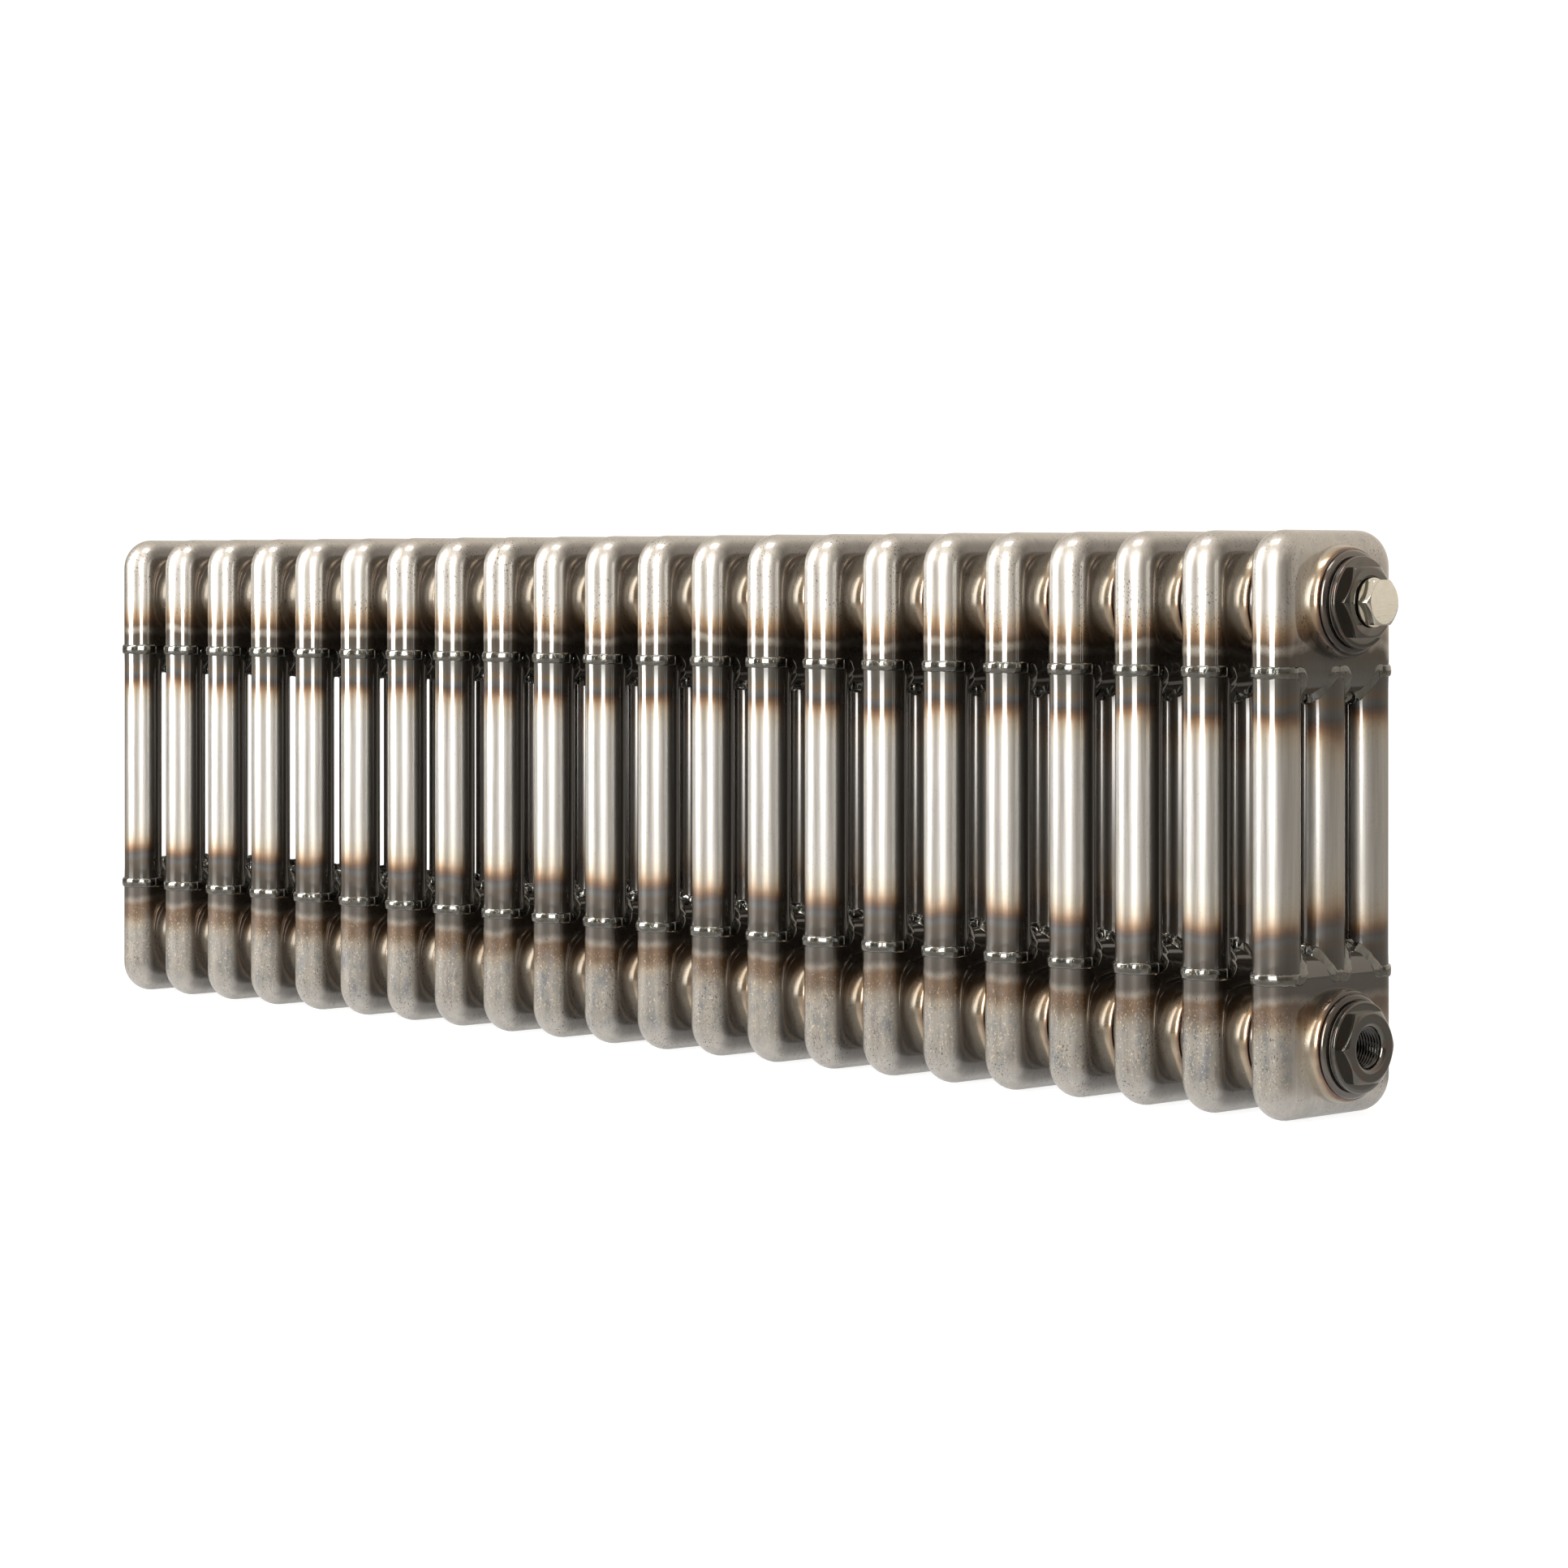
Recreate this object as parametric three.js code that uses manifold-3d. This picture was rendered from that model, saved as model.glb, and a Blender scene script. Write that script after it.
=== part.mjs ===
// Three-column tubular steel radiator, 22 sections, clear-lacquered raw metal.
// Millimetres, +X right along the row, -Y the room side, +Z up, z = 0 under the lower headers.
import * as THREE from "three";
import { mergeVertices } from "three/addons/utils/BufferGeometryUtils.js";
import Module from "manifold-3d";

// Row of sections
const SECTIONS = 22;
const PITCH = 46;
const HEIGHT = 300;
const HUB_GAP = 0.3; // between the hub faces of neighbouring sections

// One section: a header above and below, joined by three tubes of the header's thickness
const TUBE_R = 12.5;
const TUBE_SPACING = 36;
const HEADER_HEIGHT = 72.5; // from the header's outer edge to its weld to the tubes
const HEADER_CORNER_R = 19;
const CROWN_FLAT = 0.6; // narrow flat left along the crown of every rounded edge
const WALL = 1.5;

// Hubs that join the sections
const HUB_INSET = 37; // hub axis from the header's outer edge
const HUB_R = 28;
const HUB_BORE_R = 22.6;

// Reducing bushes and the fittings in them
const CLEAR = 0.3;
const SHANK_R = 20.4;
const SHANK_LENGTH = 15;
const SEAL_R = 22.4;
const SEAL_THICK = 1.3;
const FLANGE_R = 23.3;
const FLANGE_THICK = 2.4;
const BUSH_HEX = 36;
const BUSH_HEX_HEIGHT = 5.2;
const BUSH_BORE_R = 9.8;
const BUSH_MOUTH_R = 12.2;
const BUSH_MOUTH_DEPTH = 1.6;
const PLUG_SHANK_R = 9.2;
const PLUG_SHANK_LENGTH = 11;
const PLUG_SEAL_R = 10.8;
const PLUG_SEAL_THICK = 1;
const PLUG_COLLAR_R = 12.6;
const PLUG_COLLAR_THICK = 1.1;
const PLUG_HEX = 23;
const PLUG_HEX_HEIGHT = 6.5;
const PLUG_FACE_R = 11.3;
const SCREW_R = 3.85;
const SCREW_HOLE_R = 4;
const SCREW_HEAD = 5; // across the flats of the square key head
const SCREW_HEAD_SINK = 0.3; // its end lies this far below the vent plug's face
const KEY_RECESS_R = 6.2;
const KEY_RECESS_DEPTH = 4;
const WATERWAY_R = 1.5;

// Places worked out from the sizes above; the fittings' x is measured out from the end hub face
const HUB_FACE = PITCH / 2 - HUB_GAP / 2;
const ROW_FACE = (SECTIONS * PITCH) / 2 - HUB_GAP / 2;
const HUB_HIGH = HEIGHT - HUB_INSET;
const FLANGE_FROM = SEAL_THICK + 2 * CLEAR;
const FLANGE_TO = FLANGE_FROM + FLANGE_THICK;
const BUSH_FACE = FLANGE_TO + BUSH_HEX_HEIGHT;
const PLUG_END = BUSH_FACE - PLUG_SHANK_LENGTH;
const PLUG_SEAL_FROM = BUSH_FACE - 0.5;
const COLLAR_FROM = PLUG_SEAL_FROM + PLUG_SEAL_THICK + CLEAR;
const COLLAR_TO = COLLAR_FROM + PLUG_COLLAR_THICK;
const PLUG_FACE = COLLAR_TO + PLUG_HEX_HEIGHT;
const SCREW_SEAT = PLUG_FACE - 12;

// Facets of the round shapes
const OUTSIDE = { edgeSteps: 3, cornerSteps: 2 };
const INSIDE = { edgeSteps: 2, cornerSteps: 1 };
const HUB_SIDES = 12;
const BORE_SIDES = 8;
const FITTING_SIDES = 18;
const SMALL_SIDES = 12;

const FINISHES = {
  steel: { color: 0xb9b2a8, roughness: 0.32, metalness: 1 },
  nickel: { color: 0x6f675e, roughness: 0.25, metalness: 1 },
  chrome: { color: 0xe6e2da, roughness: 0.08, metalness: 1 },
  brass: { color: 0xc9a24e, roughness: 0.3, metalness: 1 },
  rubber: { color: 0x1b1a19, roughness: 0.75, metalness: 0 },
};

const wasm = await Module();
wasm.setup();

// Turns a closed geometry into a solid that can be joined and cut.
function solid(geometry) {
  const bare = geometry.clone();
  bare.deleteAttribute("normal");
  bare.deleteAttribute("uv");
  const merged = mergeVertices(bare, 1e-4);
  const mesh = new wasm.Mesh({
    numProp: 3,
    vertProperties: merged.attributes.position.array,
    triVerts: new Uint32Array(merged.index.array),
  });
  return new wasm.Manifold(mesh);
}

function geometryOf(body) {
  const mesh = body.getMesh();
  const geometry = new THREE.BufferGeometry();
  geometry.setAttribute("position", new THREE.BufferAttribute(mesh.vertProperties, 3));
  geometry.setIndex(new THREE.BufferAttribute(mesh.triVerts, 1));
  geometry.computeVertexNormals();
  return geometry;
}

// A solid of revolution about X, from [x, radius] points that start and end on the axis.
function turned(points, sides) {
  const profile = points.map(([x, radius]) => new THREE.Vector2(radius, x));
  const geometry = new THREE.LatheGeometry(profile, sides);
  geometry.rotateZ(-Math.PI / 2);
  return solid(geometry);
}

function rod(x0, x1, radius, sides) {
  return turned([[x0, 0], [x0, radius], [x1, radius], [x1, 0]], sides);
}

// A hexagonal bar along X, with two of its corners pointing along Y.
function hexBar(x0, x1, acrossFlats) {
  const radius = acrossFlats / Math.sqrt(3);
  const geometry = new THREE.CylinderGeometry(radius, radius, x1 - x0, 6);
  geometry.rotateZ(-Math.PI / 2);
  geometry.rotateX(Math.PI / 2);
  geometry.translate((x0 + x1) / 2, 0, 0);
  return solid(geometry);
}

// The centre line of the section's side view: a round-cornered frame with two windows.
// Grown by a tube's radius, it gives the headers, the tubes and the mitred welds between them.
function sectionOutline(cornerSteps) {
  const side = TUBE_SPACING + CROWN_FLAT / 2;
  const low = TUBE_R - CROWN_FLAT / 2;
  const high = HEIGHT - low;
  const corner = HEADER_CORNER_R - TUBE_R;
  const outline = new THREE.Shape();
  outline.moveTo(corner - side, low);
  const centres = [
    [side - corner, low + corner, -0.5],
    [side - corner, high - corner, 0],
    [corner - side, high - corner, 0.5],
    [corner - side, low + corner, 1],
  ];
  for (const [y, z, quarter] of centres) {
    for (let i = 0; i <= cornerSteps; i++) {
      const a = Math.PI * (quarter + i / (2 * cornerSteps));
      outline.lineTo(y + corner * Math.cos(a), z + corner * Math.sin(a));
    }
  }
  outline.holes.push(tubeWindow(CROWN_FLAT / 2, TUBE_SPACING - CROWN_FLAT / 2, 0.01));
  outline.holes.push(tubeWindow(CROWN_FLAT / 2 - TUBE_SPACING, -CROWN_FLAT / 2, -0.01));
  return outline;
}

// The gap between two tubes. The stagger keeps the two windows' ends off one line.
function tubeWindow(y0, y1, stagger) {
  const low = HEADER_HEIGHT + stagger;
  const high = HEIGHT - HEADER_HEIGHT - stagger;
  const gap = new THREE.Path();
  gap.moveTo(y0, low);
  gap.lineTo(y0, high);
  gap.lineTo(y1, high);
  gap.lineTo(y1, low);
  return gap;
}

// The section without its hubs, with half-round edges; inset makes the waterway inside it.
function sectionFrame(inset, facets) {
  const grow = TUBE_R - inset - CROWN_FLAT / 2;
  const geometry = new THREE.ExtrudeGeometry(sectionOutline(facets.cornerSteps), {
    depth: CROWN_FLAT,
    steps: 1,
    bevelEnabled: true,
    bevelThickness: grow,
    bevelSize: grow,
    bevelSegments: facets.edgeSteps,
  });
  geometry.translate(0, 0, -CROWN_FLAT / 2);
  geometry.rotateX(Math.PI / 2);
  geometry.rotateZ(Math.PI / 2);
  return solid(geometry);
}

function sectionBody() {
  const hub = rod(-HUB_FACE, HUB_FACE, HUB_R, HUB_SIDES);
  const bore = rod(-PITCH / 2, PITCH / 2, HUB_BORE_R, BORE_SIDES);
  let outside = sectionFrame(0, OUTSIDE);
  let inside = sectionFrame(WALL, INSIDE);
  for (const z of [HUB_INSET, HUB_HIGH]) {
    outside = outside.add(hub.translate([0, 0, z]));
    inside = inside.add(bore.translate([0, 0, z]));
  }
  return outside.subtract(inside);
}

// The fittings are made for the right end.
function bushBody() {
  const round = turned([
    [-SHANK_LENGTH, 0],
    [-SHANK_LENGTH, SHANK_R],
    [FLANGE_FROM, SHANK_R],
    [FLANGE_FROM, FLANGE_R],
    [FLANGE_TO, FLANGE_R],
    [FLANGE_TO, 0],
  ], FITTING_SIDES);
  const chamfer = turned([
    [0, 0],
    [0, BUSH_HEX],
    [BUSH_FACE - 2.6, BUSH_HEX / 2 + 2.8],
    [BUSH_FACE, BUSH_HEX / 2 - 0.5],
    [BUSH_FACE, 0],
  ], FITTING_SIDES);
  const head = hexBar(FLANGE_TO - 1, BUSH_FACE, BUSH_HEX).intersect(chamfer);
  const bore = turned([
    [-SHANK_LENGTH - 1, 0],
    [-SHANK_LENGTH - 1, BUSH_BORE_R],
    [BUSH_FACE - BUSH_MOUTH_DEPTH, BUSH_BORE_R],
    [BUSH_FACE, BUSH_MOUTH_R],
    [BUSH_FACE + 1, BUSH_MOUTH_R],
    [BUSH_FACE + 1, 0],
  ], FITTING_SIDES);
  return round.add(head).subtract(bore);
}

function bushSealBody() {
  const ring = rod(CLEAR, CLEAR + SEAL_THICK, SEAL_R, FITTING_SIDES);
  return ring.subtract(rod(0, FLANGE_FROM, SHANK_R + CLEAR, FITTING_SIDES));
}

// The hexagon-headed plug that the blanking plug and the vent plug share.
function plugBody() {
  const round = turned([
    [PLUG_END, 0],
    [PLUG_END, PLUG_SHANK_R],
    [COLLAR_FROM, PLUG_SHANK_R],
    [COLLAR_FROM, PLUG_COLLAR_R],
    [COLLAR_TO, PLUG_COLLAR_R],
    [COLLAR_TO, 0],
  ], FITTING_SIDES);
  const chamfer = turned([
    [0, 0],
    [0, PLUG_HEX],
    [PLUG_FACE - 3, PLUG_HEX / 2 + 2],
    [PLUG_FACE, PLUG_FACE_R],
    [PLUG_FACE, 0],
  ], FITTING_SIDES);
  return round.add(hexBar(COLLAR_TO - 0.5, PLUG_FACE, PLUG_HEX).intersect(chamfer));
}

function plugSealBody() {
  const ring = rod(PLUG_SEAL_FROM, PLUG_SEAL_FROM + PLUG_SEAL_THICK, PLUG_SEAL_R, SMALL_SIDES);
  return ring.subtract(rod(0, PLUG_FACE, PLUG_SHANK_R + CLEAR, SMALL_SIDES));
}

function ventPlugBody() {
  const recess = turned([
    [SCREW_SEAT, 0],
    [SCREW_SEAT, SCREW_HOLE_R],
    [PLUG_FACE - KEY_RECESS_DEPTH, SCREW_HOLE_R],
    [PLUG_FACE - KEY_RECESS_DEPTH, KEY_RECESS_R],
    [PLUG_FACE + 1, KEY_RECESS_R],
    [PLUG_FACE + 1, 0],
  ], SMALL_SIDES);
  const waterway = rod(PLUG_END - 1, SCREW_SEAT + 1, WATERWAY_R, 8);
  return plugBody().subtract(recess).subtract(waterway);
}

// A stem with a pointed seat and a square head for the radiator key.
function bleedScrewBody() {
  const stemEnd = PLUG_FACE - KEY_RECESS_DEPTH + CLEAR;
  const stem = turned([
    [SCREW_SEAT + CLEAR, 0],
    [SCREW_SEAT + 3, SCREW_R],
    [stemEnd, SCREW_R],
    [stemEnd, 0],
  ], SMALL_SIDES);
  const headFrom = stemEnd - 0.5;
  const headTo = PLUG_FACE - SCREW_HEAD_SINK;
  const head = new THREE.BoxGeometry(headTo - headFrom, SCREW_HEAD, SCREW_HEAD);
  head.translate((headFrom + headTo) / 2, 0, 0);
  return stem.add(solid(head));
}

const radiator = new THREE.Group();
radiator.name = "column_radiator";

function namedMesh(name, geometry, finish) {
  const mesh = new THREE.Mesh(geometry, new THREE.MeshStandardMaterial(FINISHES[finish]));
  mesh.name = name;
  return mesh;
}

function addSections() {
  const geometry = geometryOf(sectionBody());
  for (let i = 0; i < SECTIONS; i++) {
    const mesh = namedMesh("section_" + String(i + 1).padStart(2, "0"), geometry, "steel");
    mesh.position.x = (i - (SECTIONS - 1) / 2) * PITCH;
    radiator.add(mesh);
  }
}

// One of the four ends of the two rows of hubs, holding what is screwed into it.
function addEnd(side, z, fittings) {
  const end = new THREE.Group();
  end.position.set(side * ROW_FACE, 0, z);
  end.rotation.z = side > 0 ? 0 : Math.PI;
  for (const [name, body, finish] of fittings) {
    end.add(namedMesh(name, geometryOf(body), finish));
  }
  radiator.add(end);
}

function bushed(place) {
  return [
    ["bush_" + place, bushBody(), "nickel"],
    ["bush_seal_" + place, bushSealBody(), "rubber"],
  ];
}

addSections();
addEnd(-1, HUB_INSET, bushed("bottom_left"));
addEnd(1, HUB_INSET, bushed("bottom_right"));
addEnd(-1, HUB_HIGH, [
  ...bushed("top_left"),
  ["vent_plug", ventPlugBody(), "chrome"],
  ["vent_plug_seal", plugSealBody(), "rubber"],
  ["bleed_screw", bleedScrewBody(), "brass"],
]);
addEnd(1, HUB_HIGH, [
  ...bushed("top_right"),
  ["blanking_plug", plugBody(), "chrome"],
  ["blanking_plug_seal", plugSealBody(), "rubber"],
]);

export default radiator;
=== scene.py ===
import math

import bmesh
import bpy
import numpy as np
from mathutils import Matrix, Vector


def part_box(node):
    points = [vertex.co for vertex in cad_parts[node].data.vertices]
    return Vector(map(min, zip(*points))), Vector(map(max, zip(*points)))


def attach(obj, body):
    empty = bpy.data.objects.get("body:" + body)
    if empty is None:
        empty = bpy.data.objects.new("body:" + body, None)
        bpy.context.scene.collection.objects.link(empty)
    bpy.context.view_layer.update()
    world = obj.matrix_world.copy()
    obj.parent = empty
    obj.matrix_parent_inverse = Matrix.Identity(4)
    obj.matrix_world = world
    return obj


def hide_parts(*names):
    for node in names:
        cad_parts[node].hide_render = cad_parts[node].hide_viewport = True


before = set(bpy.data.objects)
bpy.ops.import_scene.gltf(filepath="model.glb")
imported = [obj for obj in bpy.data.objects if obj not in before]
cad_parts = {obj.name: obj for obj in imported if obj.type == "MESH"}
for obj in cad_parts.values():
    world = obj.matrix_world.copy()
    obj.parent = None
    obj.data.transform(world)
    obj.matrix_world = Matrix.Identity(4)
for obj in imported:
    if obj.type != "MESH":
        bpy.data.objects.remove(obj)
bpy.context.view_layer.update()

MM = 0.001

# ---------------------------------------------------------------- sizes from the frame
SECTIONS = sorted(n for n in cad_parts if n.startswith("section_"))
section_low, section_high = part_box(SECTIONS[0])
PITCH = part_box(SECTIONS[1])[0].x - section_low.x
HEIGHT = section_high.z
DEPTH = section_high.y - section_low.y
HUB_FACE = (section_high.x - section_low.x) / 2
bush_low, bush_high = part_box("bush_top_right")
HUB_HIGH = (bush_low.z + bush_high.z) / 2
ROW_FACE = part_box(SECTIONS[-1])[1].x
BUSH_FACE = bush_high.x - ROW_FACE
PLUG_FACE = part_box("blanking_plug")[1].x - ROW_FACE

# ---------------------------------------------------------------- sizes of a section
TUBE_R = 12.5 * MM
TUBE_NECK = 0.25 * MM  # the tubes are this much thinner than the headers
TUBE_SPACING = DEPTH / 2 - TUBE_R
HEADER_HEIGHT = 72.5 * MM  # from the header's outer edge to its weld to the tubes
WELD_HIGH = HEIGHT - HEADER_HEIGHT
CORNER_R = 19 * MM
CROWN_Z = WELD_HIGH - TUBE_R  # ridge of the header's edge between two tubes

HUB_BORE_R = 22.6 * MM
HUB_PIPE_R = 24 * MM
HUB_DISC_R = 29.5 * MM
HUB_DOME_R = 27 * MM  # the disc's rounded edge starts turning in from here
HUB_DISC_FACE = 20.3 * MM
HUB_GROOVE = 0.5 * MM  # how far the groove between disc and ring cuts in
HUB_RING_R = 26.8 * MM
HUB_RING_ROUND = 2.6 * MM
HUB_CHAMFER = 0.6 * MM

# The welds. fold is 0 on a tube's open side and in the middle of its flat sides, and 1 in the gap between
# two tubes
PATCH_TOP = 0.35  # half the flat top of the weld patch on a tube's side, in tube radii
SEAM_WIDTHS = ((0, 3.1), (0.10, 3.0), (0.65, 3.4), (0.95, 4.4))  # fold, half-width in mm
PATCH_HEIGHTS = ((0.10, 0.28), (0.70, 0.35), (0.95, 2.3))  # fold, half-height in mm
OUTER_RING_HEIGHT = 1.25  # at fold 0, in mm, on the front and back tubes
MIDDLE_RING_HEIGHT = 0.5  # the same on the middle tube
RIDGE_R = 2.7 * MM
RIDGE_WIDTH = 1.45  # the ridge weld's width over its height
RIDGE_OVERLAP = 1.0 * MM  # how far the ridge weld runs into the tubes' welds
RIDGE_SAG = 3.2 * MM  # the ends of the ridge weld lie this much lower than its middle
RIDGE_WANDER = 1.2 * MM  # it strays sideways by about this much

# Facets
HALF_STEPS = 20  # round half of a tube
TURN_STEPS = 96  # round a turned piece
SIDE_STEPS = 12  # along the straight front and back of a header's edge
CORNER_STEPS = 10
TOP_STEPS = 14
CROWN_STEPS = 12
WEB_STEPS = 6  # from a header's outline to its hub
TUBE_ROWS = 34
SEAM_STEPS = 144
RIDGE_STEPS = 40
BEAD_SIDES = 12


# ---------------------------------------------------------------- meshes
class Skin:
    """Grids and fans of points that become one mesh; they join where their edge points are the same."""

    def __init__(self):
        self.points = []
        self.faces = []

    def grid(self, points, wrap_rows=False, wrap_columns=False):
        rows, columns = points.shape[:2]
        start = len(self.points)
        self.points.extend(points.reshape(-1, 3))
        for i in range(rows if wrap_rows else rows - 1):
            for j in range(columns if wrap_columns else columns - 1):
                below, right = (i + 1) % rows, (j + 1) % columns
                corners = [(i, j), (below, j), (below, right), (i, right)]
                self.faces.append([start + r * columns + c for r, c in corners])

    def fan(self, loop, centre):
        start = len(self.points)
        self.points.extend(loop)
        self.points.append(centre)
        count = len(loop)
        for i in range(count):
            self.faces.append([start + i, start + (i + 1) % count, start + count])

    def moved(self, change):
        self.points = list(change(np.array(self.points)))
        return self

    def piece(self, name, material, body="radiator", sharp=35, at=(0, 0, 0)):
        """The mesh as an object on a body. Edges that turn by more than sharp degrees stay sharp."""
        mesh = bpy.data.meshes.new(name)
        points = np.array(self.points) + np.array(at)
        mesh.from_pydata([tuple(p) for p in points], [], self.faces)
        clean = bmesh.new()
        clean.from_mesh(mesh)
        bmesh.ops.remove_doubles(clean, verts=clean.verts, dist=2e-6)
        bmesh.ops.dissolve_degenerate(clean, edges=clean.edges, dist=1e-7)
        bmesh.ops.recalc_face_normals(clean, faces=clean.faces)
        clean.to_mesh(mesh)
        clean.free()
        mesh.shade_smooth()
        mesh.set_sharp_from_angle(angle=math.radians(sharp))
        mesh.materials.append(material)
        made = bpy.data.objects.new(name, mesh)
        bpy.context.scene.collection.objects.link(made)
        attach(made, body)
        return made


def stack(*columns):
    """Points from separate x, y and z arrays, which may be of different shapes."""
    return np.stack(np.broadcast_arrays(*columns), axis=-1)


def upside_down(points):
    return points * [1, 1, -1] + [0, 0, HEIGHT]


def half_turn():
    return np.linspace(0, math.pi, HALF_STEPS + 1)


def full_turn(steps):
    """Angles once round, without the last one, which is the first again."""
    return np.linspace(0, 2 * math.pi, steps + 1)[:-1]


# ---------------------------------------------------------------- headers
def arc_points(centre, radius, start, end, steps):
    a = np.radians(np.linspace(start, end, steps + 1))
    out = np.stack([np.cos(a), np.sin(a)], axis=-1)
    return np.array(centre) + radius * out, out


def line_points(start, end, out, steps):
    t = np.linspace(0, 1, steps + 1)[:, None]
    path = np.array(start) * (1 - t) + np.array(end) * t
    return path, np.tile(np.array(out, float), (steps + 1, 1))


def rim_path():
    """The middle of the header's rounded edge in the (y, z) plane, from the front weld over the top to
    the back weld, and the outward direction at each point."""
    corner = CORNER_R - TUBE_R
    side = TUBE_SPACING
    top = HEIGHT - TUBE_R
    runs = [
        line_points((-side, WELD_HIGH), (-side, top - corner), (-1, 0), SIDE_STEPS),
        arc_points((corner - side, top - corner), corner, 180, 90, CORNER_STEPS),
        line_points((corner - side, top), (side - corner, top), (0, 1), TOP_STEPS),
        arc_points((side - corner, top - corner), corner, 90, 0, CORNER_STEPS),
        line_points((side, top - corner), (side, WELD_HIGH), (1, 0), SIDE_STEPS),
    ]
    path = np.concatenate([run[0] for run in runs])
    out = np.concatenate([run[1] for run in runs])
    moves = [np.linalg.norm(path[i] - path[i - 1]) for i in range(1, len(path))]
    keep = [0] + [i for i, move in enumerate(moves, 1) if move > 1e-9]
    return path[keep], out[keep]


def crown(y0, y1):
    """The header's half-round edge between two tubes, mitred into both."""
    a = half_turn()[:, None]
    t = np.linspace(0, 1, CROWN_STEPS + 1)[None, :]
    rise = TUBE_R * np.sin(a)
    y = (y0 + rise) * (1 - t) + (y1 - rise) * t
    return stack(TUBE_R * np.cos(a), y, WELD_HIGH - rise)


def web(skin, loop):
    """A flat side of the header, from its outline to the hub. Returns its circle at the hub."""
    spoke = loop[:, 1:] - [0, HUB_HIGH]
    spoke = spoke / np.linalg.norm(spoke, axis=1)[:, None] * HUB_PIPE_R + [0, HUB_HIGH]
    circle = stack(loop[:, 0], spoke[:, 0], spoke[:, 1])
    t = np.linspace(0, 1, WEB_STEPS + 1)[:, None, None]
    skin.grid(loop * (1 - t) + circle * t, wrap_columns=True)
    return circle


def header():
    """The upper header, centred on x = 0. Its three openings for the tubes are closed by flat fans."""
    skin = Skin()
    path, out = rim_path()
    a = half_turn()[None, :]
    rim = stack(
        TUBE_R * np.cos(a),
        path[:, :1] + out[:, :1] * TUBE_R * np.sin(a),
        path[:, 1:] + out[:, 1:] * TUBE_R * np.sin(a),
    )
    front, back = crown(-TUBE_SPACING, 0), crown(0, TUBE_SPACING)
    for grid in (rim, front, back):
        skin.grid(grid)
    bore = []
    for edge in (0, -1):
        loop = np.concatenate([rim[:, edge], back[edge, -2::-1], front[edge, -2:0:-1]])
        bore.append(web(skin, loop))
    skin.grid(np.array(bore), wrap_columns=True)
    skin.fan(np.concatenate([rim[0], front[-2:0:-1, 0]]), (0, -TUBE_SPACING, WELD_HIGH))
    skin.fan(np.concatenate([front[:, -1], back[-2:0:-1, 0]]), (0, 0, WELD_HIGH))
    skin.fan(np.concatenate([rim[-1], back[-2:0:-1, -1]]), (0, TUBE_SPACING, WELD_HIGH))
    return skin


# ---------------------------------------------------------------- tubes and welds
def seam_drop(y, across):
    """How far below the weld line a tube's seam to the upper header runs at each place round the tube.
    across is the place's y from the tube's axis; only a side that faces another tube drops."""
    drop = np.zeros_like(across)
    if y > -TUBE_SPACING / 2:
        drop = np.maximum(drop, -across)
    if y < TUBE_SPACING / 2:
        drop = np.maximum(drop, across)
    return drop


def tube(skin, y):
    a = full_turn(2 * HALF_STEPS)[None, :]
    t = np.linspace(0, 1, TUBE_ROWS)[:, None]
    across = TUBE_R * np.sin(a)
    top = WELD_HIGH - seam_drop(y, across)
    z = top * t + (HEIGHT - top) * (1 - t)
    ends = np.clip(np.minimum(t, 1 - t) * TUBE_ROWS / 2, 0, 1)
    radius = TUBE_R - TUBE_NECK * ends * ends * (3 - 2 * ends)
    grid = stack(radius * np.cos(a), y + radius * np.sin(a), z)
    skin.grid(grid, wrap_columns=True)
    skin.fan(grid[-1], (0, y, WELD_HIGH))
    skin.fan(grid[0], (0, y, HEADER_HEIGHT))


def lumps(t, seed, waves, size):
    """An uneven line round 1: a few sine waves of t in turns, with phases from the seed."""
    made = np.ones_like(t)
    chance = np.random.default_rng(seed)
    for wave in waves:
        made = made + size * chance.uniform(0.5, 1) * np.sin(2 * math.pi * (wave * t + chance.uniform()))
    return made


def boxy(wave):
    """A sine or cosine pushed towards 1, for a section between a circle and a rounded box."""
    return np.sign(wave) * np.abs(wave) ** 0.72


def sweep(path, out, width, height, closed=True):
    """A rounded bead along a path, of half-width width along the metal and half-height height along out."""
    if closed:
        tangent = np.roll(path, -1, axis=0) - np.roll(path, 1, axis=0)
    else:
        tangent = np.gradient(path, axis=0)
    tangent /= np.linalg.norm(tangent, axis=1)[:, None]
    side = np.cross(tangent, out)
    side /= np.linalg.norm(side, axis=1)[:, None]
    a = full_turn(BEAD_SIDES)[None, :, None]
    return (
        path[:, None]
        + side[:, None] * width[:, None, None] * boxy(np.cos(a))
        + out[:, None] * height[:, None, None] * boxy(np.sin(a))
    )


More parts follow.
